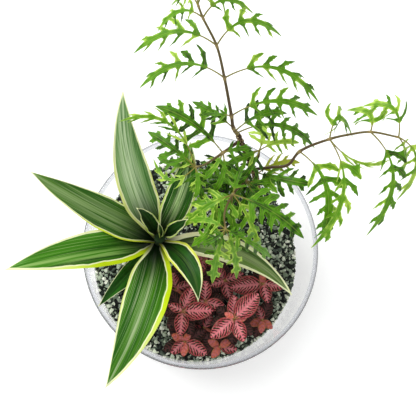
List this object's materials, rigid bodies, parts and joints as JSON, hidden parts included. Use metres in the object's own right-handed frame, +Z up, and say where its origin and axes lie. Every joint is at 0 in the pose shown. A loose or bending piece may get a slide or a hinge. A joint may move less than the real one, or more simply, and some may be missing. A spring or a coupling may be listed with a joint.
{
  "type": "glass plant terrarium",
  "caption": "Round clear glass bowl with layered soil and gravel, planted with a striped dracaena, a cut-leaf shrub and pink nerve plants.",
  "frame": {"origin": "centre of the bowl's flat underside, on the surface that it stands on", "axes": "+Z up; +X to the right and +Y to the top of the picture when the bowl is seen from above"},
  "size_m": [0.3383, 0.2773, 0.3323],
  "materials": {
    "glass": "clear, smooth, polished",
    "drainage_gravel": "rough, dry, mid grey",
    "potting_soil": "crumbly, matte, dark brown",
    "top_gravel": "crushed, matte, charcoal and grey with pale chips",
    "dracaena_cane": "ringed, matte",
    "dracaena_leaf": "waxy, satin, striped green with cream margins",
    "shrub_bark": "rough, matte brown",
    "shrub_leaf": "satin, fresh green",
    "shrub_old_leaf": "satin, yellowing with brown edges",
    "nerve_leaf": "soft satin, pink net on dark green"
  },
  "bodies": {
    "root": {"glass_bowl": "glass", "drainage_gravel": "drainage_gravel", "potting_soil": "potting_soil", "top_gravel": "top_gravel", "dracaena_cane": "dracaena_cane", "dracaena_leaf_north": "dracaena_leaf", "dracaena_leaf_west_high": "dracaena_leaf", "dracaena_leaf_west": "dracaena_leaf", "dracaena_leaf_south": "dracaena_leaf", "dracaena_leaf_southwest": "dracaena_leaf", "dracaena_leaf_southeast": "dracaena_leaf", "dracaena_leaf_northeast": "dracaena_leaf", "dracaena_leaf_east": "dracaena_leaf", "dracaena_leaf_young_west": "dracaena_leaf", "dracaena_leaf_young_east": "dracaena_leaf", "dracaena_leaf_spear": "dracaena_leaf", "shrub_trunk": "shrub_bark", "shrub_stem_tall": "shrub_leaf", "shrub_stem_left": "shrub_leaf", "shrub_stem_right": "shrub_leaf", "shrub_stem_front": "shrub_leaf", "shrub_stem_middle": "shrub_leaf", "shrub_leaf_low_east": "shrub_leaf", "shrub_leaf_low_old": "shrub_old_leaf", "shrub_leaf_low_west": "shrub_leaf", "shrub_leaf_low_front": "shrub_leaf", "nerve_sprig_1": "nerve_leaf", "nerve_sprig_2": "nerve_leaf", "nerve_sprig_3": "nerve_leaf", "nerve_sprig_4": "nerve_leaf", "nerve_sprig_5": "nerve_leaf", "nerve_sprig_6": "nerve_leaf", "nerve_sprig_7": "nerve_leaf", "nerve_sprig_8": "nerve_leaf", "nerve_sprig_9": "nerve_leaf", "nerve_sprig_10": "nerve_leaf", "nerve_sprig_11": "nerve_leaf"}
  },
  "joints": []
}
